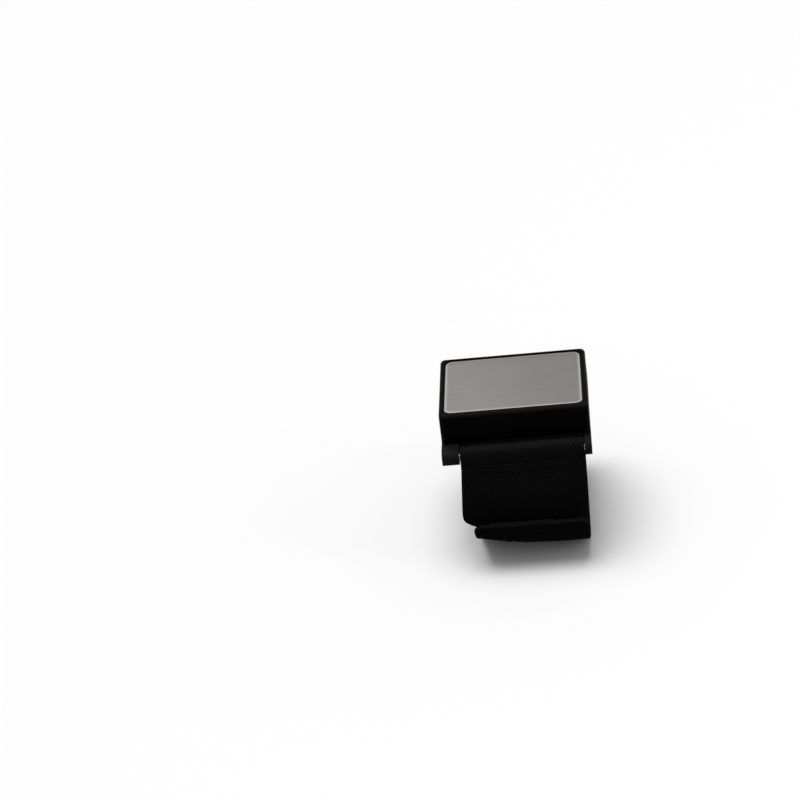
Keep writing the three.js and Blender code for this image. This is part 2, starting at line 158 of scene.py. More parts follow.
# Stitching: rows along the edges, across the folds and round the patch on the tail
sewn_start, sewn_end = 3.6 * MM, 8.6 * MM
seam_rows = (3.9 * MM, 7.6 * MM)
seam_share = 0.86  # of the half width, where a row across ends
edge_row = 2.3 * MM
row_start = 2.0 * MM
inner_row_start = sewn_end + 1.0 * MM
row_end = 2.4 * MM
box_half = 10.4 * MM
box_rows = (3.2 * MM, 14.0 * MM)
stitch_pitch = 3.0 * MM
stitch_half = 0.8 * MM
stitch_radius = 0.2 * MM
stitch_tuck = 0.35 * MM
stitch_dip = 0.16 * MM
seam_dent = 0.2 * MM

# Floor
floor_size = 12.0
floor_gap = 0.05 * MM


# Modelling helpers

def put_down():
    """Leaves edit mode with nothing selected."""
    if bpy.context.mode != "OBJECT":
        bpy.ops.object.mode_set(mode="OBJECT")
    bpy.ops.object.select_all(action="DESELECT")


def take(piece):
    put_down()
    piece.select_set(True)
    bpy.context.view_layer.objects.active = piece


def settle(piece, name):
    """Names a new primitive and puts its place into its mesh."""
    take(piece)
    bpy.ops.object.transform_apply(location=True, rotation=True, scale=True)
    piece.name = name
    piece.data.name = name
    return piece


def block(name, low, high):
    put_down()
    bpy.ops.mesh.primitive_cube_add(size=1, location=(Vector(low) + Vector(high)) / 2)
    piece = bpy.context.object
    piece.scale = Vector(high) - Vector(low)
    return settle(piece, name)


def rod(name, start, end, radius, sides=48):
    """A cylinder from one point to another."""
    put_down()
    start, end = Vector(start), Vector(end)
    along = end - start
    bpy.ops.mesh.primitive_cylinder_add(
        vertices=sides, radius=radius, depth=along.length, location=(start + end) / 2)
    piece = bpy.context.object
    piece.rotation_euler = along.to_track_quat("Z", "Y").to_euler()
    return settle(piece, name)


def pick(piece, kind, test):
    """Opens a piece in edit mode with the parts that pass a test selected."""
    take(piece)
    bpy.ops.object.mode_set(mode="EDIT")
    bpy.ops.mesh.select_mode(type=kind)
    bpy.ops.mesh.select_all(action="DESELECT")
    mesh = bmesh.from_edit_mesh(piece.data)
    mesh.normal_update()
    parts = {"VERT": mesh.verts, "EDGE": mesh.edges, "FACE": mesh.faces}[kind]
    for part in parts:
        if test(part):
            part.select_set(True)
    mesh.select_flush_mode()
    bmesh.update_edit_mesh(piece.data)


def near(a, b, slack=0.02 * MM):
    return abs(a - b) < slack


def upright(edge):
    a, b = (v.co for v in edge.verts)
    return near(a.x, b.x) and near(a.y, b.y) and not near(a.z, b.z)


def level(height):
    """A test for edges that lie at one height."""
    return lambda edge: all(near(v.co.z, height) for v in edge.verts)


def facing(direction):
    direction = Vector(direction)
    return lambda face: face.normal.dot(direction) > 0.99


def round_edges(piece, test, width, segments):
    pick(piece, "EDGE", test)
    bpy.ops.mesh.bevel(offset=width, segments=segments, profile=0.5, affect="EDGES", clamp_overlap=True)
    put_down()


def draw_out(*move):
    """Extrudes what is selected."""
    bpy.ops.mesh.extrude_region_move(TRANSFORM_OT_translate={"value": move})


def rounded_block(name, low, high, corner, segments=8):
    piece = block(name, low, high)
    round_edges(piece, upright, corner, segments)
    return piece


def boolean(piece, tool, operation):
    step = piece.modifiers.new(operation.lower(), "BOOLEAN")
    step.operation = operation
    step.solver = "EXACT"
    step.object = tool
    take(piece)
    bpy.ops.object.modifier_apply(modifier=step.name)
    bpy.data.objects.remove(tool, do_unlink=True)


def cut(piece, tool):
    boolean(piece, tool, "DIFFERENCE")


def fuse(piece, tool):
    boolean(piece, tool, "UNION")


def ease(piece, width, segments, angle=35):
    """Rounds all sharp edges of a piece with a bevel."""
    step = piece.modifiers.new("ease", "BEVEL")
    step.width = width
    step.segments = segments
    step.limit_method = "ANGLE"
    step.angle_limit = math.radians(angle)
    step.use_clamp_overlap = True
    take(piece)
    bpy.ops.object.modifier_apply(modifier=step.name)


def polish(piece, angle=35):
    take(piece)
    bpy.ops.object.shade_smooth_by_angle(angle=math.radians(angle))


def dress(piece, finish, body, slot, *nodes):
    """Gives a finished piece its material and its place in the model."""
    piece.data.materials.clear()
    piece.data.materials.append(finish)
    if body:
        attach(piece, body)
    if nodes:
        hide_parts(*nodes)


# Shader helpers

def add(tree, kind, inputs=None, **settings):
    """A shader node with its settings, and its inputs set or linked."""
    made = tree.nodes.new("ShaderNode" + kind)
    for name, value in settings.items():
        setattr(made, name, value)
    for name, value in (inputs or {}).items():
        if isinstance(value, bpy.types.NodeSocket):
            tree.links.new(value, made.inputs[name])
        else:
            made.inputs[name].default_value = value
    return made


def figure(tree, operation, a, b=0.0, c=0.0):
    return add(tree, "Math", {0: a, 1: b, 2: c}, operation=operation).outputs[0]


def spread(tree, value, low, high, to_low=0.0, to_high=1.0):
    """A value from one range mapped smoothly onto another."""
    made = add(tree, "MapRange", {"Value": value, "From Min": low, "From Max": high,
                                  "To Min": to_low, "To Max": to_high},
               interpolation_type="SMOOTHSTEP")
    return made.outputs["Result"]


def tint(tree, factor, dark, light):
    """A colour between two others."""
    a, b = (c if isinstance(c, bpy.types.NodeSocket) else (*c, 1.0) for c in (dark, light))
    return add(tree, "Mix", {"Factor": factor, 6: a, 7: b}, data_type="RGBA").outputs[2]


def stain(tree, colour, mask, share, other):
    """A colour with a share of another laid over it where a mask says."""
    return tint(tree, figure(tree, "MULTIPLY", mask, share), colour, other)


def grain(tree, vector, scale, detail=2.0, roughness=0.5):
    return add(tree, "TexNoise", {"Vector": vector, "Scale": scale, "Detail": detail,
                                  "Roughness": roughness}).outputs[0]


def effect(name, inputs, outputs):
    """An empty shader node group with named sockets."""
    tree = bpy.data.node_groups.new(name, "ShaderNodeTree")
    for label, kind, value in inputs:
        socket = tree.interface.new_socket(label, in_out="INPUT", socket_type="NodeSocket" + kind)
        if value is not None:
            socket.default_value = value
    for label in outputs:
        tree.interface.new_socket(label, in_out="OUTPUT", socket_type="NodeSocketFloat")
    return tree, tree.nodes.new("NodeGroupInput").outputs, tree.nodes.new("NodeGroupOutput").inputs


def use(tree, group, inputs):
    """Places a node group, and gives its outputs."""
    return add(tree, "Group", inputs, node_tree=group).outputs


def new_finish(name, **constants):
    """A material with constants set on its shader, and the tree, shader and object coordinates."""
    finish = bpy.data.materials.new(name)
    finish.use_nodes = True
    tree = finish.node_tree
    shader = tree.nodes["Principled BSDF"]
    for label, value in constants.items():
        shader.inputs[label.replace("_", " ")].default_value = value
    place = tree.nodes.new("ShaderNodeTexCoord").outputs
    return finish, tree, shader, place


def lay(tree, shader, colour, roughness, height=None, depth=0.0):
    """Links colour, roughness and bump to the shader. The depth of the bump is in metres."""
    tree.links.new(colour, shader.inputs["Base Color"])
    tree.links.new(roughness, shader.inputs["Roughness"])
    if height is not None:
        bump = add(tree, "Bump", {"Height": height, "Distance": depth, "Strength": 1.0})
        tree.links.new(bump.outputs["Normal"], shader.inputs["Normal"])


# Shared effects

def edge_wear_effect():
    """Marks the edges of a piece, broken up along their length."""
    tree, entry, leave = effect(
        "edge wear",
        [("Vector", "Vector", None), ("Radius", "Float", 0.4 * MM), ("Breakup", "Float", 900.0)],
        ["Mask"])
    softened = add(tree, "Bevel", {"Radius": entry["Radius"]}, samples=6).outputs[0]
    true_normal = add(tree, "NewGeometry").outputs["Normal"]
    agreement = add(tree, "VectorMath", {0: softened, 1: true_normal}, operation="DOT_PRODUCT")
    edge = spread(tree, agreement.outputs["Value"], 0.995, 0.90)
    patches = spread(tree, grain(tree, entry["Vector"], entry["Breakup"], 3.0), 0.36, 0.62)
    tree.links.new(figure(tree, "MULTIPLY", edge, patches), leave["Mask"])
    return tree


def dust_effect():
    """Sparse pale specks and a faint cloudy film."""
    tree, entry, leave = effect(
        "dust", [("Vector", "Vector", None), ("Size", "Float", 0.25 * MM)], ["Specks", "Film"])
    scale = figure(tree, "DIVIDE", 1.0, entry["Size"])
    sparse = figure(tree, "MULTIPLY", scale, 0.35)
    cells = add(tree, "TexVoronoi", {"Vector": entry["Vector"], "Scale": sparse})
    draw = add(tree, "SeparateColor", {"Color": cells.outputs["Color"]}).outputs[0]
    chosen = spread(tree, draw, 0.90, 0.98)
    small = spread(tree, cells.outputs["Distance"], 0.16, 0.05)
    tree.links.new(figure(tree, "MULTIPLY", chosen, small), leave["Specks"])
    cloud = grain(tree, entry["Vector"], figure(tree, "MULTIPLY", scale, 0.03), 4.0, 0.6)
    tree.links.new(spread(tree, cloud, 0.35, 0.75), leave["Film"])
    return tree


def moulded_effect():
    """The fine eroded texture of a plastic mould."""
    tree, entry, leave = effect(
        "moulded texture", [("Vector", "Vector", None), ("Size", "Float", 0.2 * MM)], ["Height"])
    scale = figure(tree, "DIVIDE", 1.0, entry["Size"])
    cells = add(tree, "TexVoronoi", {"Vector": entry["Vector"], "Scale": scale},
                feature="SMOOTH_F1").outputs["Distance"]
    fine = grain(tree, entry["Vector"], figure(tree, "MULTIPLY", scale, 1.7), 3.0)
    tree.links.new(figure(tree, "MULTIPLY_ADD", cells, 0.6, fine), leave["Height"])
    return tree


def border_effect():
    """The distance inside a rectangle with round corners, centred on the origin, seen along Z."""
    tree, entry, leave = effect(
        "plate border",
        [("Vector", "Vector", None), ("Half length", "Float", 25 * MM), ("Half depth", "Float", 18 * MM),
         ("Corner", "Float", 3 * MM)],
        ["Inside"])
    spot = add(tree, "SeparateXYZ", {"Vector": entry["Vector"]}).outputs
    over = []
    for axis, half in (("X", "Half length"), ("Y", "Half depth")):
        straight = figure(tree, "SUBTRACT", entry[half], entry["Corner"])
        over.append(figure(tree, "SUBTRACT", figure(tree, "ABSOLUTE", spot[axis]), straight))
    beyond = [figure(tree, "MAXIMUM", value, 0.0) for value in over]
    round_part = figure(tree, "SQRT", figure(tree, "MULTIPLY_ADD", beyond[0], beyond[0],
                                             figure(tree, "MULTIPLY", beyond[1], beyond[1])))
    flat_part = figure(tree, "MINIMUM", figure(tree, "MAXIMUM", *over), 0.0)
    outside = figure(tree, "SUBTRACT", figure(tree, "ADD", round_part, flat_part), entry["Corner"])
    tree.links.new(figure(tree, "MULTIPLY", outside, -1.0), leave["Inside"])
    return tree


def ground_effect():
    """Fine lines that a grinding belt leaves along X, and a few crossing scratches."""
    tree, entry, leave = effect(
        "ground lines",
        [("Vector", "Vector", None), ("Length", "Float", 14 * MM), ("Width", "Float", 0.09 * MM)],
        ["Lines", "Scratches"])
    along = figure(tree, "DIVIDE", 1.0, entry["Length"])
    across = figure(tree, "DIVIDE", 1.0, entry["Width"])

    def stretched(turn, coarser):
        turned = add(tree, "VectorRotate", {"Vector": entry["Vector"], "Angle": turn},
                     rotation_type="Z_AXIS").outputs[0]
        by = add(tree, "CombineXYZ", {"X": along, "Y": figure(tree, "DIVIDE", across, coarser), "Z": across})
        return add(tree, "VectorMath", {0: turned, 1: by.outputs[0]}, operation="MULTIPLY").outputs[0]

    lines = figure(tree, "ADD", grain(tree, stretched(0.0, 1.0), 1.0, 4.0),
                   grain(tree, stretched(0.01, 3.0), 1.0, 2.0))
    tree.links.new(figure(tree, "MULTIPLY", lines, 0.5), leave["Lines"])
    marks = None
    for turn in (0.5, 1.35, -0.8):
        mark = spread(tree, grain(tree, stretched(turn, 1.6), 0.8, 1.0), 0.69, 0.76)
        marks = mark if marks is None else figure(tree, "MAXIMUM", marks, mark)
    tree.links.new(marks, leave["Scratches"])
    return tree


def weave_effect():
    """Yarns that cross over and under, on a map whose units are metres across and along."""
    tree, entry, leave = effect(
        "weave",
        [("Vector", "Vector", None), ("Across", "Float", 0.9 * MM), ("Along", "Float", 0.75 * MM)],
        ["Height", "Yarn", "Edge distance"])
    flat = add(tree, "SeparateXYZ", {"Vector": entry["Vector"]}).outputs
    wobble = figure(tree, "MULTIPLY", grain(tree, entry["Vector"], 450.0, 2.0), 0.35)
    u = figure(tree, "ADD", figure(tree, "DIVIDE", flat["X"], entry["Across"]), wobble)
    v = figure(tree, "ADD", figure(tree, "DIVIDE", flat["Y"], entry["Along"]), wobble)

    def hump(value):
        return figure(tree, "ABSOLUTE", figure(tree, "SINE", figure(tree, "MULTIPLY", value, math.pi)))

    grid = add(tree, "CombineXYZ", {"X": u, "Y": v, "Z": 0.5}).outputs[0]
    over = add(tree, "TexChecker", {"Vector": grid, "Scale": 1.0}).outputs["Fac"]
    warp = figure(tree, "MULTIPLY", figure(tree, "POWER", hump(u), 0.6), hump(v))
    weft = figure(tree, "MULTIPLY", figure(tree, "POWER", hump(v), 0.6), hump(u))
    warp_up = figure(tree, "MULTIPLY_ADD", warp, 1.0, figure(tree, "MULTIPLY", over, 0.25))
    weft_up = figure(tree, "MULTIPLY", weft, 0.75)
    height = add(tree, "Mix", {"Factor": over, 2: weft_up, 3: warp_up}).outputs[0]
    strands = grain(tree, add(tree, "CombineXYZ", {
        "X": figure(tree, "MULTIPLY", flat["X"], 9000.0),
        "Y": figure(tree, "MULTIPLY", flat["Y"], 1500.0)}).outputs[0], 1.0, 2.0)
    tree.links.new(figure(tree, "MULTIPLY_ADD", strands, 0.25, height), leave["Height"])
    yarn = add(tree, "TexWhiteNoise", {"Vector": add(
        tree, "VectorMath", {0: grid}, operation="FLOOR").outputs[0]}, noise_dimensions="2D")
    tree.links.new(yarn.outputs["Value"], leave["Yarn"])
    tree.links.new(figure(tree, "ABSOLUTE", flat["X"]), leave["Edge distance"])
    return tree


edge_wear = edge_wear_effect()
dust = dust_effect()
moulded_texture = moulded_effect()
plate_border = border_effect()
ground_lines = ground_effect()
weave = weave_effect()


# Finishes

def painted_rim_highlight(tree, spot):
    """Marks the front edge of the housing's rim, where a highlight from the overhead light is painted."""
    at = add(tree, "SeparateXYZ", {"Vector": spot}).outputs
    full_height, faded_height = 1.1 * MM, 1.7 * MM
    full_depth, faded_depth = 1.4 * MM, 2.4 * MM
    high = spread(tree, at["Z"], rim_top - faded_height, rim_top - full_height)
    in_front = spread(tree, at["Y"], housing_low.y + faded_depth, housing_low.y + full_depth)
    return figure(tree, "MULTIPLY", high, in_front)


def moulded_black(name, dark, light, worn, rough, shine):
    finish, tree, shader, place = new_finish(name, Specular_IOR_Level=shine)
    spot = place["Object"]
    wear = use(tree, edge_wear, {"Vector": spot, "Radius": 0.35 * MM})["Mask"]
    specks = use(tree, dust, {"Vector": spot, "Size": 0.3 * MM})
    texture = use(tree, moulded_texture, {"Vector": spot, "Size": 0.22 * MM})["Height"]
    cloud = spread(tree, grain(tree, spot, 160.0, 3.0), 0.3, 0.7)
    colour = tint(tree, cloud, dark, light)
    colour = stain(tree, colour, wear, 0.55, worn)
    # Painted highlight along the front edge of the rim.
    colour = tint(tree, painted_rim_highlight(tree, spot), colour, (0.0098, 0.0098, 0.01))
    colour = stain(tree, colour, specks["Specks"], 0.25, (0.09, 0.088, 0.083))
    roughness = figure(tree, "MULTIPLY_ADD", specks["Film"], 0.1, rough)
    roughness = figure(tree, "MULTIPLY_ADD", wear, -0.12, roughness)
    lay(tree, shader, colour, roughness, texture, 0.012 * MM)
    return finish


def ground_steel():
    finish, tree, shader, place = new_finish("ground steel", Metallic=1.0)
    spot = place["Object"]
    lines = use(tree, ground_lines, {"Vector": spot, "Length": 16 * MM, "Width": 0.1 * MM})
    wear = use(tree, edge_wear, {"Vector": spot, "Radius": 1.3 * MM, "Breakup": 220.0})["Mask"]
    inside = use(tree, plate_border, {"Vector": spot, "Half length": plate_high.x, "Half depth": plate_high.y,
                                      "Corner": plate_corner})["Inside"]
    # A lighter band inside the plate's border: a painted highlight along its bevel.
    rubbed_and_lit_band = spread(tree, inside, 1.5 * MM, 0.4 * MM)
    cloud = spread(tree, grain(tree, spot, 70.0, 4.0, 0.6), 0.3, 0.72)
    shade = spread(tree, lines["Lines"], 0.3, 0.7)
    colour = tint(tree, shade, (0.2, 0.193, 0.185), (0.25, 0.242, 0.233))
    colour = stain(tree, colour, cloud, 0.35, (0.172, 0.167, 0.161))
    # Painted shade: the plate is made darker towards high X.
    along = add(tree, "SeparateXYZ", {"Vector": spot}).outputs["X"]
    painted_shade_along_x = spread(tree, along, plate_low.x, plate_high.x)
    colour = stain(tree, colour, painted_shade_along_x, 0.6, (0.155, 0.15, 0.143))
    colour = stain(tree, colour, lines["Scratches"], 0.2, (0.42, 0.41, 0.4))
    # Edge wear, made wide and light so that it also paints a highlight along the plate's edge.
    colour = stain(tree, colour, wear, 0.6, (0.5, 0.49, 0.48))
    colour = tint(tree, rubbed_and_lit_band, colour, (0.36, 0.352, 0.34))
    roughness = figure(tree, "MULTIPLY_ADD", shade, 0.1, 0.36)
    roughness = figure(tree, "MULTIPLY_ADD", cloud, 0.06, roughness)
    height = figure(tree, "SUBTRACT", lines["Lines"], figure(tree, "MULTIPLY", lines["Scratches"], 0.5))
    lay(tree, shader, colour, roughness, height, 0.004 * MM)
    return finish


def zinc_plate():
    finish, tree, shader, place = new_finish("bright zinc plate", Metallic=1.0)
    spot = place["Object"]
    cloud = spread(tree, grain(tree, spot, 500.0, 4.0, 0.6), 0.3, 0.7)
    wear = use(tree, edge_wear, {"Vector": spot, "Radius": 0.2 * MM})["Mask"]
    lines = use(tree, ground_lines, {"Vector": spot, "Length": 4 * MM, "Width": 0.06 * MM})["Lines"]
    colour = tint(tree, cloud, (0.42, 0.43, 0.45), (0.54, 0.545, 0.54))
    colour = stain(tree, colour, wear, 0.6, (0.66, 0.66, 0.65))
    roughness = figure(tree, "MULTIPLY_ADD", cloud, 0.16, 0.24)
    lay(tree, shader, colour, roughness, lines, 0.003 * MM)
    return finish


def ferrite_block():
    finish, tree, shader, place = new_finish("ground ferrite", Specular_IOR_Level=0.4)
    spot = place["Object"]
    speckle = spread(tree, grain(tree, spot, 3500.0, 3.0), 0.35, 0.7)
    lines = use(tree, ground_lines, {"Vector": spot, "Length": 5 * MM, "Width": 0.08 * MM})["Lines"]
    colour = tint(tree, speckle, (0.02, 0.02, 0.022), (0.038, 0.037, 0.037))
    roughness = figure(tree, "MULTIPLY_ADD", speckle, 0.2, 0.55)
    lay(tree, shader, colour, roughness, lines, 0.006 * MM)
    return finish


def closed_foam(name, dark, light):
    finish, tree, shader, place = new_finish(name, Specular_IOR_Level=0.15)
    spot = place["Object"]
    cells = add(tree, "TexVoronoi", {"Vector": spot, "Scale": 2600.0},
                feature="SMOOTH_F1").outputs["Distance"]
    cloud = spread(tree, grain(tree, spot, 260.0, 3.0), 0.3, 0.7)
    specks = use(tree, dust, {"Vector": spot, "Size": 0.3 * MM})["Specks"]
    pores = spread(tree, cells, 0.15, 0.6)
    mottle = figure(tree, "MULTIPLY_ADD", pores, 0.6, figure(tree, "MULTIPLY", cloud, 0.4))
    colour = tint(tree, mottle, dark, light)
    colour = stain(tree, colour, specks, 0.3, (0.12, 0.12, 0.115))
    roughness = figure(tree, "MULTIPLY_ADD", cloud, 0.1, 0.82)
    lay(tree, shader, colour, roughness, cells, -0.05 * MM)
    return finish


def paper_tape():
    finish, tree, shader, place = new_finish("bonding tape", Specular_IOR_Level=0.3)
    spot = place["Object"]
    fibres = grain(tree, spot, 2200.0, 4.0, 0.7)
    colour = tint(tree, spread(tree, fibres, 0.3, 0.7), (0.68, 0.66, 0.61), (0.8, 0.79, 0.75))
    roughness = figure(tree, "MULTIPLY_ADD", fibres, 0.2, 0.6)
    lay(tree, shader, colour, roughness, fibres, 0.01 * MM)
    return finish


def woven_black():
    finish, tree, shader, place = new_finish("black webbing", Specular_IOR_Level=0.0,
                                             Sheen_Weight=0.02, Sheen_Roughness=0.4)
    woven = use(tree, weave, {"Vector": place["UV"]})
    specks = use(tree, dust, {"Vector": place["Object"], "Size": 0.35 * MM})
    faded = spread(tree, grain(tree, place["Object"], 120.0, 3.0), 0.3, 0.75)
    raised = spread(tree, woven["Height"], 0.15, 1.0)
    colour = tint(tree, raised, (0.003, 0.003, 0.0031), (0.007, 0.007, 0.0074))
    colour = stain(tree, colour, woven["Yarn"], 0.3, (0.0107, 0.0107, 0.0112))
    colour = stain(tree, colour, faded, 0.25, (0.0107, 0.0107, 0.0111))
    # Painted highlight across the top of each fold, on the raised yarns.
    along = add(tree, "SeparateXYZ", {"Vector": place["UV"]}).outputs["Y"]
    from_crown = figure(tree, "ABSOLUTE", figure(tree, "SUBTRACT", along, fold_crown))
    painted_crown_highlight = figure(tree, "MULTIPLY", spread(tree, from_crown, 1.6 * MM, 0.2 * MM), raised)
    colour = stain(tree, colour, painted_crown_highlight, 0.8, (0.015, 0.015, 0.0155))
    at_edge = spread(tree, woven["Edge distance"], strap_width / 2 - 0.9 * MM, strap_width / 2 - 0.1 * MM)
    rubbed_and_lit_band = figure(tree, "MULTIPLY", at_edge, raised)
    colour = stain(tree, colour, rubbed_and_lit_band, 0.5, (0.014, 0.014, 0.0145))
    colour = stain(tree, colour, specks["Specks"], 0.2, (0.08, 0.078, 0.075))
    roughness = figure(tree, "MULTIPLY_ADD", raised, -0.14, 0.86)
    lay(tree, shader, colour, roughness, woven["Height"], 0.11 * MM)
    return finish


def sewing_thread():
    finish, tree, shader, place = new_finish("black thread", Specular_IOR_Level=0.02)
    spot = place["Object"]
    twist = add(tree, "TexWave", {"Vector": spot, "Scale": 1500.0, "Distortion": 1.5},
                bands_direction="DIAGONAL").outputs["Fac"]
    colour = tint(tree, twist, (0.005, 0.005, 0.0053), (0.0095, 0.0095, 0.01))
    roughness = figure(tree, "MULTIPLY_ADD", twist, -0.1, 0.68)
    lay(tree, shader, colour, roughness, twist, 0.03 * MM)
    return finish


def fastener_fuzz(name, scale, depth):
    finish, tree, shader, place = new_finish(name, Specular_IOR_Level=0.12, Sheen_Weight=0.08)
    spot = place["Object"]
    curls = add(tree, "TexVoronoi", {"Vector": spot, "Scale": scale},
                feature="SMOOTH_F1").outputs["Distance"]
    fibres = grain(tree, spot, 2.0 * scale, 4.0, 0.7)
    fuzz = figure(tree, "MULTIPLY_ADD", curls, 0.7, fibres)
    colour = tint(tree, spread(tree, fuzz, 0.4, 1.0), (0.003, 0.003, 0.0033), (0.014, 0.014, 0.0145))
    roughness = figure(tree, "MULTIPLY_ADD", fibres, 0.12, 0.8)
    lay(tree, shader, colour, roughness, fuzz, depth)
    return finish


housing_black = moulded_black("housing plastic", (0.002, 0.002, 0.0021), (0.003, 0.003, 0.0031),
                              (0.045, 0.045, 0.046), 0.38, 0.008)
base_black = moulded_black("base plastic", (0.009, 0.009, 0.0093), (0.013, 0.013, 0.0135),
                           (0.04, 0.04, 0.041), 0.5, 0.025)
plate_steel = ground_steel()
zinc = zinc_plate()
ferrite = ferrite_block()
spacer_foam = closed_foam("spacer foam", (0.016, 0.016, 0.017), (0.04, 0.04, 0.042))
pad_foam = closed_foam("pad foam", (0.008, 0.008, 0.0085), (0.024, 0.024, 0.025))
tape_white = paper_tape()
webbing_black = woven_black()
thread_black = sewing_thread()
loop_fuzz = fastener_fuzz("loop fuzz", 1900.0, 0.16 * MM)
hook_fuzz = fastener_fuzz("hook bed", 900.0, 0.1 * MM)


# Housing and face plate

def make_housing():
    """A box with a rimmed seat in its top and an open cavity below."""
    housing = rounded_block("wristband_housing", housing_low, housing_high, housing_corner)
    round_edges(housing, level(rim_top), housing_edge, 6)
    pick(housing, "FACE", facing((0, 0, -1)))
    bpy.ops.mesh.inset(thickness=housing_wall)
    draw_out(0, 0, cavity_height)
    put_down()
    inward = Vector((rim_width, rim_width, 0))
    floor_z = rim_top - seat_depth
    seat = rounded_block("seat", Vector((*(housing_low + inward).xy, floor_z)),
                         Vector((*(housing_high - inward).xy, rim_top + overshoot)), seat_corner)
    cut(housing, seat)
    slack = 0.03 * MM
    inside = housing_high - inward + Vector((slack, slack, 0))
    near_outside = housing_high - 0.6 * Vector((housing_corner, housing_corner, 0))

    def seat_edge(edge):
        return level(rim_top)(edge) and all(
            abs(v.co.x) < inside.x and abs(v.co.y) < inside.y for v in edge.verts)

    def outer_foot(edge):
        return level(parting)(edge) and all(
            abs(v.co.x) > near_outside.x or abs(v.co.y) > near_outside.y for v in edge.verts)

    round_edges(housing, seat_edge, seat_round, 3)
    round_edges(housing, outer_foot, parting_round, 2)
    polish(housing)
    dress(housing, housing_black, "housing", "housing_plastic", "upper_housing")


def make_plate():
    plate = rounded_block("steel_face_plate", plate_low, plate_high, plate_corner, 10)
    round_edges(plate, level(plate_high.z), plate_round, 5)
    round_edges(plate, level(plate_low.z), plate_foot_round, 2)
    polish(plate, 40)
    dress(plate, plate_steel, "housing", "face_steel", "face_plate")


# Base, bars and screws

def lug(name, low_x, high_x, side):
    """A half round about a strap bar, drawn back into the base."""
    piece = rod(name, (low_x, side * bar_y, bar_z), (high_x, side * bar_y, bar_z), lug_radius, 64)
    pick(piece, "VERT", lambda vertex: side * vertex.co.y < bar_y - 0.01 * MM)
    bpy.ops.transform.translate(value=(0, -side * lug_root, 0))
    put_down()
    return piece


def make_base():
    """An arched saddle with a pair of lugs at the front and at the rear."""
    drop = arch_radius - math.sqrt(arch_radius ** 2 - housing_high.y ** 2)
    low = Vector((base_low.x, housing_low.y, parting - base_thickness - drop))
    high = Vector((base_high.x, housing_high.y, parting))
    base = rounded_block("wristband_base", low, high, housing_corner)
    for side, end in ((-1, "front"), (1, "rear")):
        fuse(base, lug(end + "_hand_lug", base_low.x, base_low.x + hand_lug, side))
        fuse(base, lug(end + "_elbow_lug", base_high.x - elbow_lug, base_high.x, side))
    crown = parting - base_thickness
    reach = base_high.x + overshoot
    arch = rod("arch", (-reach, 0, crown - arch_radius), (reach, 0, crown - arch_radius), arch_radius, 256)
    cut(base, arch)
    ease(base, base_round, 3)
    for side in (-1, 1):
        hole = rod("bar_hole", (base_low.x + blind_wall, side * bar_y, bar_z),
                   (reach, side * bar_y, bar_z), bar_radius + seat_gap)
        cut(base, hole)
    for x in (-screw_reach[0], screw_reach[0]):
        for y in (-screw_reach[1], screw_reach[1]):
            seat_z = parting - screw_seat
            below = base_low.z - screw_head_height
            cut(base, rod("counterbore", (x, y, below), (x, y, seat_z), screw_head + pocket_gap))
    polish(base)
    dress(base, base_black, "housing", "base_plastic", "base_saddle")


def make_bars():
    for node, name in (("front_bar", "front_strap_bar"), ("rear_bar", "rear_strap_bar")):
        low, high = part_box(node)
        y = (low.y + high.y) / 2
        bar = rod(name, (low.x, y, bar_z), (high.x, y, bar_z), bar_radius)
        round_edges(bar, lambda edge: near(edge.verts[0].co.x, edge.verts[1].co.x), bar_chamfer, 3)
        polish(bar, 40)
        dress(bar, zinc, "housing", "zinc_steel", node)


def make_screws():
    """One pan-head screw with a cross recess, copied to the four bosses."""
    low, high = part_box("case_screw_1")
    spot = (low + high) / 2
    seat = low.z + screw_head_height
    pattern = rod("screw_pattern", (spot.x, spot.y, low.z), (spot.x, spot.y, seat), screw_head, 40)
    round_edges(pattern, level(low.z), screw_crown, 5)
    pick(pattern, "FACE", facing((0, 0, 1)))
    bpy.ops.mesh.inset(thickness=screw_head - screw_shank)
    draw_out(0, 0, high.z - seat - screw_tip)
    draw_out(0, 0, screw_tip)
    bpy.ops.transform.resize(value=(0.25, 0.25, 1), center_override=(spot.x, spot.y, high.z))
    put_down()
    for x, y in ((recess_half_length, recess_half_width), (recess_half_width, recess_half_length)):
        wing = block("recess", (spot.x - x, spot.y - y, low.z - recess_lead),
                     (spot.x + x, spot.y + y, low.z + recess_depth))
        pick(wing, "FACE", facing((0, 0, 1)))
        bpy.ops.transform.resize(value=(0.6, 0.6, 1), center_override=(spot.x, spot.y, low.z))
        cut(pattern, wing)
    polish(pattern, 40)
    for number in range(1, 5):
        node = f"case_screw_{number}"
        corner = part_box(node)[0]
        screw = copy_of(pattern, f"pan_head_screw_{number}", Matrix.Translation(corner - low))
        dress(screw, zinc, "housing", "zinc_steel", node)
    bpy.data.objects.remove(pattern, do_unlink=True)


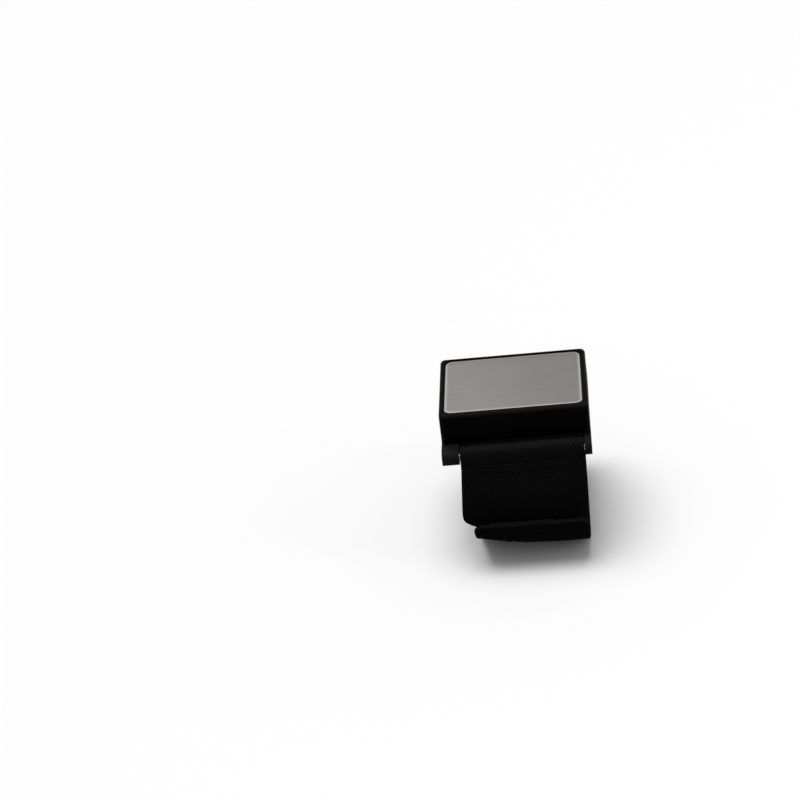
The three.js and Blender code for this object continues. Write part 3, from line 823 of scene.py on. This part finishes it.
def make_pad():
    """A foam pad with soft edges, bent to the arch of the base and crowned on its free face."""
    crown = parting - base_thickness - seat_gap
    low = Vector((pad_low.x, pad_low.y, crown - pad_thickness))
    pad = rounded_block("wrist_comfort_pad", low, Vector((pad_high.x, pad_high.y, crown)), pad_corner, 10)
    round_edges(pad, level(low.z), pad_soft_edge, 5)
    round_edges(pad, level(crown), pad_back_edge, 3)
    for axis in (Vector((1, 0, 0)), Vector((0, 1, 0))):
        for i in range(1, pad_cuts):
            pick(pad, "FACE", lambda face: True)
            bpy.ops.mesh.bisect(plane_co=axis * pad_high.dot(axis) * (2 * i / pad_cuts - 1), plane_no=axis)
            put_down()
    for vertex in pad.data.vertices:
        u, v = vertex.co.x / pad_high.x, vertex.co.y / pad_high.y
        swell = (1 - u ** 4) * (1 - v ** 4)
        if vertex.co.z < crown - pad_thickness / 2:
            vertex.co.z -= pad_swell * swell - pad_sink
        vertex.co.z -= arch_radius - math.sqrt(arch_radius ** 2 - vertex.co.y ** 2)
    polish(pad, 50)
    dress(pad, pad_foam, "housing", "foam", "comfort_pad")


# Straps

def compass(angle):
    return Vector((math.cos(angle), math.sin(angle)))


def arc(centre, radius, start, end):
    count = max(2, round(abs(end - start) * radius / route_step))
    return [centre + radius * compass(start + (end - start) * i / count) for i in range(count + 1)]


def straight(start, end):
    count = max(1, round((end - start).length / route_step))
    return [start.lerp(end, i / count) for i in range(count + 1)]


def fold_route(circle_centre):
    """The middle of the webbing, in Y and Z, from its sewn end up behind the front bar, over it and
    down to a circle of the opening, with the angle where it meets the circle."""
    bar = Vector((-bar_y, bar_z))
    away = circle_centre - bar
    leave = math.atan2(away.y, away.x) - math.acos((fold_middle - wrist_middle) / away.length) + 2 * math.pi
    out = compass(leave)
    run = Vector((-out.y, out.x))
    inside = bar + out * (fold_middle - layer_pitch)
    low, high = inside + run * sewn_end, inside + run * sewn_start
    reach = high - bar
    back = math.atan2(reach.y, reach.x) + math.acos(fold_middle / reach.length)
    route = straight(low, high) + arc(bar, fold_middle, back, leave)
    return route, leave


def length_of(route):
    return sum((b - a).length for a, b in zip(route, route[1:]))


def lap_lean(x, angle):
    """How far the lapped straps lean into the opening, at an angle about its front circle: most at
    their edges at low X, where the band is drawn tightest."""
    share = min(1.0, (x - strap_offset - rear_drift) / (strap_width / 2))
    deepest, sharpness = 4.4 * MM, 3.4
    middle, before, after = 242, 28, 30
    off = math.degrees(angle) - middle
    fade = math.exp(-(off / (before if off < 0 else after)) ** 2)
    return deepest * ((1 - share) / 2) ** sharpness * fade


def relax(route, passes=14):
    for _ in range(passes):
        inner = [(a + 2 * b + c) / 4 for a, b, c in zip(route, route[1:], route[2:])]
        route = [route[0]] + inner + [route[-1]]
    return route


class Strip:
    """A strap along a route in Y and Z, with its width, thickness and sideways place at each station."""

    def __init__(self, route, spread_at, thickness, end_corner, angle_at, flip=1, seams=(), inset=None):
        self.angle_at, self.flip, self.seams, self.inset = angle_at, flip, seams, inset
        self.thickness = thickness
        lengths = [0.0]
        for a, b in zip(route, route[1:]):
            lengths.append(lengths[-1] + (b - a).length)
        self.route, self.lengths, self.length = route, lengths, lengths[-1]
        self.spread_at, self.end_corner = spread_at, end_corner

    def on_route(self, along):
        along = min(max(along, 0.0), self.length)
        low, high = 0, len(self.lengths) - 1
        while high - low > 1:
            middle = (low + high) // 2
            low, high = (middle, high) if self.lengths[middle] <= along else (low, middle)
        share = (along - self.lengths[low]) / (self.lengths[high] - self.lengths[low])
        return self.route[low].lerp(self.route[high], share)

    def stations(self, step):
        """Distances along the strap, close together at both ends."""
        ends = [0.0, 0.15 * MM, 0.45 * MM, 0.9 * MM, 1.7 * MM, 2.5 * MM]
        inner = ends[-1] + step
        count = round((self.length - 2 * inner) / step)
        middle = [inner + (self.length - 2 * inner) * i / count for i in range(count + 1)]
        return ends + middle + [self.length - end for end in reversed(ends)]

    def point(self, along, share, side, lift=0.0):
        """A point on the outer (1) or inner (-1) face, at a share of the half width from the middle."""
        nudge = 0.2 * MM
        here = self.on_route(along)
        ahead = (self.on_route(along + nudge) - self.on_route(along - nudge)).normalized()
        out = Vector((ahead.y, -ahead.x))
        middle_x, half = self.spread_at(along, here)
        to_end = self.length - along
        narrow = half
        if to_end < self.end_corner:
            corner = self.end_corner
            narrow = half - corner + math.sqrt(corner ** 2 - (corner - to_end) ** 2)
        if self.inset:
            narrow -= self.inset(along, share)
        margin = (1 - abs(share)) * half
        height = self.thickness / 2
        selvage = 0.41 * self.thickness
        if margin < selvage:
            height *= math.sqrt(max(0.0, 1 - (1 - margin / selvage) ** 2))
        end_round = 0.9 * MM
        for end in (along, to_end):
            if end < end_round:
                height *= 0.4 + 0.6 * math.sqrt(1 - (1 - end / end_round) ** 2)
        if self.seams:
            height -= seam_dent * math.exp(-((margin - edge_row) / (0.4 * MM)) ** 2)
        for seam in self.seams:
            height -= seam_dent * math.exp(-((along - seam) / (0.7 * MM)) ** 2)
        height = max(height, 0.0)
        x = middle_x + share * narrow
        at = here + out * (side * (height + lift) - lap_lean(x, self.angle_at(along)))
        return Vector((x, self.flip * at.x, at.y))


# Lines of points along a strap and along a patch, in millimetres from their edges
strap_lines = [0.1, 0.4, 0.8, 1.4, 1.9, 2.1, 2.3, 2.5, 2.7, 3.2, 4.5, 7.5, 11.0, 15.0]
patch_lines = [0.1, 0.25, 0.5, 1.0, 3.0, 7.0]


def strip_mesh(name, strip, half, margins, step=0.8 * MM):
    """A closed tube wrapped round a strip, with a map in metres across and along it."""
    shares = [1 - margin * MM / half for margin in margins]
    upper = [-s for s in shares] + [0.0] + shares[::-1]
    outer, inner = [(s, 1) for s in upper], [(s, -1) for s in upper[::-1]]
    ring = [(-1.0, 1)] + outer + [(1.0, 1)] + inner + [(-1.0, -1)]
    distances = strip.stations(step)
    columns, rows = len(ring) - 1, len(distances) - 1
    put_down()
    bpy.ops.mesh.primitive_grid_add(x_subdivisions=columns, y_subdivisions=rows, size=2)
    piece = settle(bpy.context.object, name)
    cells = [(round((v.co.x + 1) / 2 * columns), round((v.co.y + 1) / 2 * rows)) for v in piece.data.vertices]
    mapped = piece.data.uv_layers.active.data
    for loop in piece.data.loops:
        i, j = cells[loop.vertex_index]
        mapped[loop.index].uv = (ring[i][0] * half, distances[j])
    for vertex, (i, j) in zip(piece.data.vertices, cells):
        vertex.co = strip.point(distances[j], *ring[i])
    pick(piece, "VERT", lambda vertex: True)
    bpy.ops.mesh.remove_doubles(threshold=0.002 * MM)
    bpy.ops.mesh.select_all(action="SELECT")
    bpy.ops.mesh.fill_holes(sides=0)
    bpy.ops.mesh.select_all(action="SELECT")
    bpy.ops.mesh.normals_make_consistent(inside=False)
    put_down()
    polish(piece, 50)
    return piece


def copy_of(pattern, name, move):
    piece = pattern.copy()
    piece.data = pattern.data.copy()
    piece.data.transform(move)
    piece.name = piece.data.name = name
    bpy.context.scene.collection.objects.link(piece)
    return piece


def stitch_pattern():
    """One stitch along Z: a short thread whose ends dip into the webbing."""
    stitch = rod("stitch", (0, 0, -stitch_half), (0, 0, stitch_half), stitch_radius, 6)
    for end in (-1, 1):
        pick(stitch, "FACE", facing((0, 0, end)))
        draw_out(0, -stitch_dip, end * stitch_tuck)
        tip = (0, -stitch_dip, end * (stitch_half + stitch_tuck))
        bpy.ops.transform.resize(value=(0.6, 0.6, 1), center_override=tip)
        put_down()
    polish(stitch, 60)
    return stitch


def stitch_rows(name, strip, rows):
    """Stitches along rows, each given by its two ends as (along, share) and by the face it is on."""
    pattern = stitch_pattern()
    copies = []
    nudge, sunk = 0.02, 0.02 * MM
    for start, end, side in rows:
        ends = [strip.point(*start, side), strip.point(*end, side)]
        reach = abs(end[0] - start[0]) if start[1] == end[1] else (ends[1] - ends[0]).length
        count = max(1, round(reach / stitch_pitch))
        for i in range(count):
            middle = (i + 0.5) / count
            along, share = (a + (b - a) * middle for a, b in zip(start, end))
            ahead = [a + (b - a) * (middle + nudge) for a, b in zip(start, end)]
            behind = [a + (b - a) * (middle - nudge) for a, b in zip(start, end)]
            at = strip.point(along, share, side, -sunk)
            forward = (strip.point(*ahead, side) - strip.point(*behind, side)).normalized()
            away = strip.point(along, share, side, 1.0 * MM) - at
            sideways = away.cross(forward).normalized()
            away = forward.cross(sideways)
            turn = Matrix((sideways, away, forward)).transposed().to_4x4()
            copies.append(copy_of(pattern, f"{name}_{len(copies)}", Matrix.Translation(at) @ turn))
    put_down()
    for piece in copies:
        piece.select_set(True)
    bpy.context.view_layer.objects.active = copies[0]
    bpy.ops.object.join()
    copies[0].name = copies[0].data.name = name
    bpy.data.objects.remove(pattern, do_unlink=True)
    return copies[0]


def fold_width_at(height):
    below = max(0.0, drift_top - height)
    flare = max(0.0, 1 - below / flare_run)
    return (strap_width + (fold_width - strap_width) * flare) / 2, below


def leaves_bar(route, leave):
    """The distance along a route to where it leaves the bar."""
    out = compass(leave)
    tangent = Vector((-bar_y, bar_z)) + out * fold_middle
    best, length, along = 1.0, 0.0, 0.0
    for a, b in zip(route, route[1:]):
        length += (b - a).length
        if (b - tangent).length < best:
            best, along = (b - tangent).length, length
    return along


def fold_seams(left):
    """Where the rows across a fold lie, on its outer layer and on its sewn end."""
    return [along for seam in seam_rows for along in (left + seam, sewn_end - seam)]


def strap_rows(left, last):
    """Rows of stitching: two across both layers of the fold, and one along each edge on both faces."""
    edge = 1 - edge_row / (strap_width / 2)
    rows = [((along, -seam_share), (along, seam_share), 1) for along in fold_seams(left)]
    for share in (-edge, edge):
        for side, start in ((-1, inner_row_start), (1, row_start)):
            rows.append(((left + start, share), (last, share), side))
    return rows


def make_front_strap():
    centre = Vector((-wrist_centre, 0))
    route, leave = fold_route(centre)
    route = relax(route + arc(centre, wrist_middle, leave, front_end))

    def spread_at(along, here):
        half, below = fold_width_at(here.y)
        return strap_offset + front_drift * below / drift_span, half

    left = leaves_bar(route, leave)
    total = length_of(route)

    def angle_at(along):
        return front_end - (total - along) / wrist_middle

    def inset(along, share):
        """Each edge turns in at its shoulder, at 45 degrees, to a tongue."""
        shoulder = hand_shoulder if share < 0 else elbow_shoulder
        past = (angle_at(along) - shoulder) * wrist_middle
        past = 0.5 * (past + math.hypot(past, shoulder_round))
        short = shoulder_inset - past
        return shoulder_inset - 0.5 * (short + math.hypot(short, shoulder_round))

    strip = Strip(route, spread_at, strap_thickness, front_end_corner, angle_at,
                  seams=fold_seams(left), inset=inset)
    strap = strip_mesh("front_webbing_strap", strip, strap_width / 2, strap_lines)
    dress(strap, webbing_black, "front_strap", "webbing", "front_strap")
    threads = stitch_rows("front_strap_stitching", strip, strap_rows(left, strip.length - row_end))
    dress(threads, thread_black, "front_strap", "webbing")


def make_rear_strap():
    """The rear strap and its tail, as one length of webbing that bends at the foot of the band."""
    centre = Vector((-wrist_centre, -lap))
    route, leave = fold_route(centre)
    tail_centre = Vector((wrist_centre, 0))
    bottom = 1.5 * math.pi
    route += arc(centre, wrist_middle, leave, bottom)
    route += straight(route[-1], tail_centre - Vector((0, tail_middle)))
    route += arc(tail_centre, tail_middle, bottom, 3 * math.pi - tail_end)
    route = relax(route)
    lowest = min(point.y for point in route)

    def spread_at(along, here):
        half, below = fold_width_at(here.y)
        if here.x > 0:
            return strap_offset + rear_drift, strap_width / 2
        return strap_offset + rear_drift * min(1.0, below / (drift_top - lowest)), half

    left = leaves_bar(route, leave)
    total = length_of(route)

    def angle_at(along):
        return tail_end + (total - along) / tail_middle

    strip = Strip(route, spread_at, strap_thickness, tail_end_corner, angle_at, flip=-1,
                  seams=fold_seams(left))
    strap = strip_mesh("rear_webbing_strap", strip, strap_width / 2, strap_lines)
    rows = strap_rows(left, strip.length - row_end)
    side = box_half / (strap_width / 2)
    top, low = (strip.length - row for row in box_rows)
    rows += [((top, -side), (top, side), 1), ((low, -side), (low, side), 1),
             ((low, -side), (top, -side), 1), ((low, side), (top, side), 1)]
    threads = stitch_rows("rear_strap_stitching", strip, rows)
    dress(strap, webbing_black, None, "webbing", "rear_strap", "strap_tail")
    dress(threads, thread_black, None, "webbing")
    for piece in (strap, threads):
        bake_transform(piece)


def make_patches():
    """The loop half on the front strap and the hook half on the tail."""
    centre = Vector((-wrist_centre, 0))
    for node, name, radius, finish, body in (
            ("loop_patch", "loop_fastener", loop_radius, loop_fuzz, "front_strap"),
            ("hook_patch", "hook_fastener", hook_radius, hook_fuzz, "strap_tail")):
        route = arc(centre, radius, patch_start, patch_finish)

        def spread_at(along, here):
            if node == "hook_patch":
                return strap_offset + rear_drift, patch_half
            below = fold_width_at(here.y)[1]
            return strap_offset + front_drift * below / drift_span, patch_half

        def angle_at(along):
            return patch_start + along / radius

        strip = Strip(route, spread_at, patch_thickness, patch_corner, angle_at)
        patch = strip_mesh(name, strip, patch_half, patch_lines)
        dress(patch, finish, body, "hook_loop", node)


make_housing()
make_plate()
make_base()
make_bars()
make_screws()
make_pad()
make_front_strap()
make_rear_strap()
make_patches()

for node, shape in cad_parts.items():
    finish = {"plate_tape": tape_white, "backing_plate": zinc, "foam_spacer": spacer_foam}.get(node)
    if node.startswith("magnet_"):
        finish = ferrite
    if finish:
        shape.data.materials.clear()
        shape.data.materials.append(finish)


# Floor, light and camera

def in_view(tree):
    """1 where the camera looks, straight on or by way of a mirror or glass, and 0 for other light."""
    path = tree.nodes.new("ShaderNodeLightPath").outputs
    seen = figure(tree, "MAXIMUM", path["Is Camera Ray"], path["Is Glossy Ray"])
    return figure(tree, "MAXIMUM", seen, path["Is Transmission Ray"])


def make_floor():
    put_down()
    bpy.ops.mesh.primitive_plane_add(size=floor_size, location=(0, 0, tail_low.z - floor_gap))
    floor = settle(bpy.context.object, "studio_floor")
    finish, tree, shader, _ = new_finish("studio floor", Specular_IOR_Level=0.1, Roughness=0.9)
    colour = tint(tree, in_view(tree), (0.12, 0.12, 0.12), (0.95, 0.95, 0.95))
    tree.links.new(colour, shader.inputs["Base Color"])
    floor.data.materials.append(finish)


def soft_light(name, place, size, power):
    """A lamp with a rectangular face, aimed at the origin."""
    put_down()
    bpy.ops.object.light_add(type="AREA", location=place)
    lamp = bpy.context.object
    lamp.name = name
    lamp.rotation_euler = (-Vector(place)).to_track_quat("-Z", "Y").to_euler()
    lamp.data.shape = "RECTANGLE"
    lamp.data.size, lamp.data.size_y = size
    lamp.data.energy = power


def overhead_light():
    """A broad even light from above, a little from the back and from low X."""
    put_down()
    bpy.ops.object.light_add(type="SUN", location=(-0.2, 0.2, 1))
    lamp = bpy.context.object
    lamp.name = "overhead_light"
    lamp.rotation_euler = Vector((0.15, -0.12, -1)).to_track_quat("-Z", "Y").to_euler()
    lamp.data.angle = math.radians(45)
    lamp.data.energy = 2.2


def make_world():
    world = bpy.data.worlds.new("studio")
    bpy.context.scene.world = world
    world.use_nodes = True
    tree = world.node_tree
    light = tree.nodes["Background"]
    light.inputs["Color"].default_value = (1, 1, 1, 1)
    ambient, white = 0.34, 1.0
    strength = figure(tree, "MULTIPLY_ADD", in_view(tree), white - ambient, ambient)
    tree.links.new(strength, light.inputs["Strength"])


def make_camera():
    azimuth, elevation, roll = math.radians(5.63), math.radians(29.63), math.radians(-7.57)
    back = Vector((math.sin(azimuth) * math.cos(elevation), -math.cos(azimuth) * math.cos(elevation),
                   math.sin(elevation)))
    right = Vector((math.cos(azimuth), math.sin(azimuth), 0))
    up = back.cross(right)
    level_right = math.cos(roll) * right + math.sin(roll) * up
    level_up = -math.sin(roll) * right + math.cos(roll) * up
    put_down()
    bpy.ops.object.camera_add()
    camera = bpy.context.object
    camera.name = "photo_view"
    turn = Matrix((level_right, level_up, back)).transposed().to_4x4()
    aim, shift_left, shift_down, distance = Vector((0, -1.05, 33.8)), 40.86, 7.12, 893.86
    place = aim - shift_left * level_right - shift_down * level_up + distance * back
    camera.matrix_world = Matrix.Translation(place * MM) @ turn
    camera.data.sensor_width = 36
    camera.data.lens = 110.61
    camera.data.clip_start = 0.01
    bpy.context.scene.camera = camera


make_floor()
make_world()
overhead_light()
soft_light("elbow_side_strip", (0.75, -0.25, 0.3), (0.12, 0.6), 0.5)
make_camera()
bpy.context.scene.view_settings.view_transform = "Standard"

put_down()
